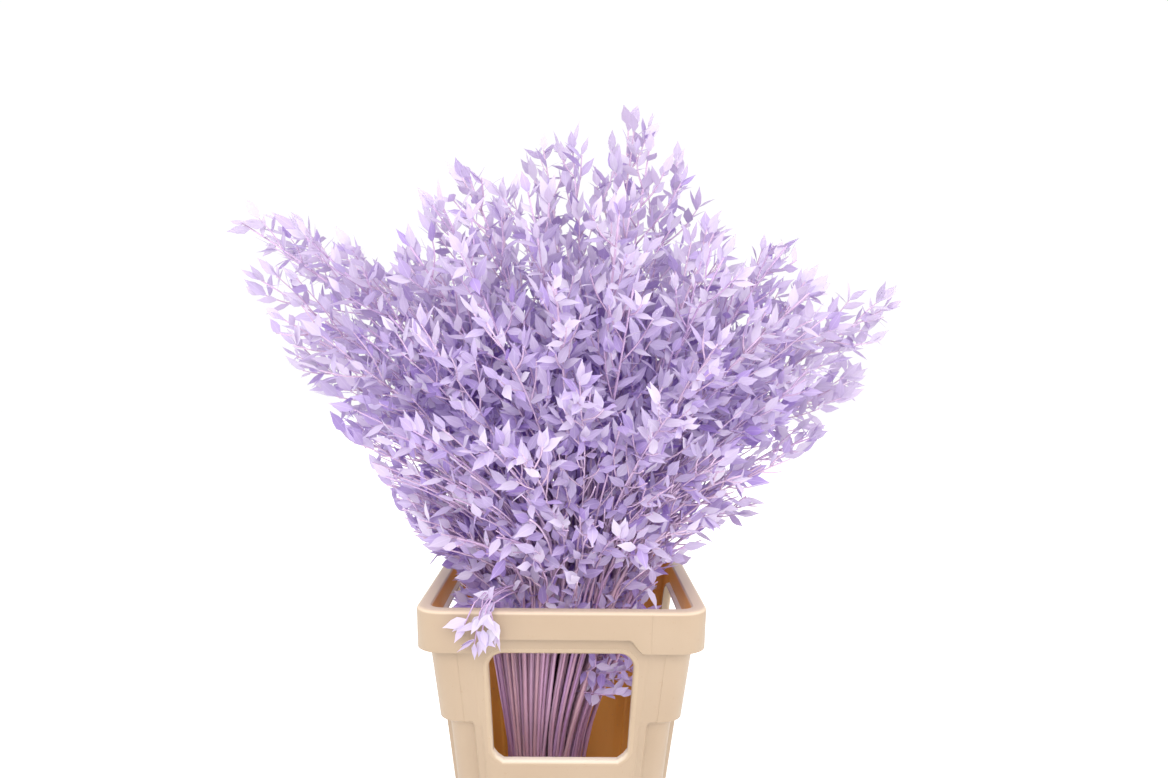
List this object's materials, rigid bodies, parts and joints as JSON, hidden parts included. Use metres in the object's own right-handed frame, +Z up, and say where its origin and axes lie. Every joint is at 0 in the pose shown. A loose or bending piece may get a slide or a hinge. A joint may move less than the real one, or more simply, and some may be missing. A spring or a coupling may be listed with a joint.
{
  "type": "dried ruscus bunch in a flower bucket",
  "caption": "Full bunch of lilac-dyed dried ruscus, leafy branching stems fanned out of a square tapered plastic flower bucket with an opening in each wall.",
  "frame": {"origin": "centre of the bucket's base, on the surface that it stands on", "axes": "+Z up; -Y is the side that the picture shows; +X is right in the picture"},
  "size_m": [0.7785, 0.586, 0.8579],
  "materials": {
    "bucket_plastic": "satin",
    "dyed_ruscus": "matte"
  },
  "bodies": {
    "root": {"flower_bucket": "bucket_plastic", "ruscus_stem_01": "dyed_ruscus", "ruscus_stem_02": "dyed_ruscus", "ruscus_stem_03": "dyed_ruscus", "ruscus_stem_04": "dyed_ruscus", "ruscus_stem_05": "dyed_ruscus", "ruscus_stem_06": "dyed_ruscus", "ruscus_stem_07": "dyed_ruscus", "ruscus_stem_08": "dyed_ruscus", "ruscus_stem_09": "dyed_ruscus", "ruscus_stem_10": "dyed_ruscus", "ruscus_stem_11": "dyed_ruscus", "ruscus_stem_12": "dyed_ruscus", "ruscus_stem_13": "dyed_ruscus", "ruscus_stem_14": "dyed_ruscus", "ruscus_stem_15": "dyed_ruscus", "ruscus_stem_16": "dyed_ruscus", "ruscus_stem_17": "dyed_ruscus", "ruscus_stem_18": "dyed_ruscus", "ruscus_stem_19": "dyed_ruscus", "ruscus_stem_20": "dyed_ruscus", "ruscus_stem_21": "dyed_ruscus", "ruscus_stem_22": "dyed_ruscus", "ruscus_stem_23": "dyed_ruscus", "ruscus_stem_24": "dyed_ruscus", "ruscus_stem_25": "dyed_ruscus", "ruscus_stem_26": "dyed_ruscus", "ruscus_stem_27": "dyed_ruscus", "ruscus_stem_28": "dyed_ruscus", "ruscus_stem_29": "dyed_ruscus", "ruscus_stem_30": "dyed_ruscus", "ruscus_stem_31": "dyed_ruscus", "ruscus_stem_32": "dyed_ruscus", "ruscus_stem_33": "dyed_ruscus", "ruscus_stem_34": "dyed_ruscus", "ruscus_stem_35": "dyed_ruscus", "ruscus_stem_36": "dyed_ruscus", "ruscus_stem_37": "dyed_ruscus", "ruscus_stem_38": "dyed_ruscus", "ruscus_stem_39": "dyed_ruscus", "ruscus_stem_40": "dyed_ruscus", "ruscus_stem_41": "dyed_ruscus", "ruscus_stem_42": "dyed_ruscus"}
  },
  "joints": []
}
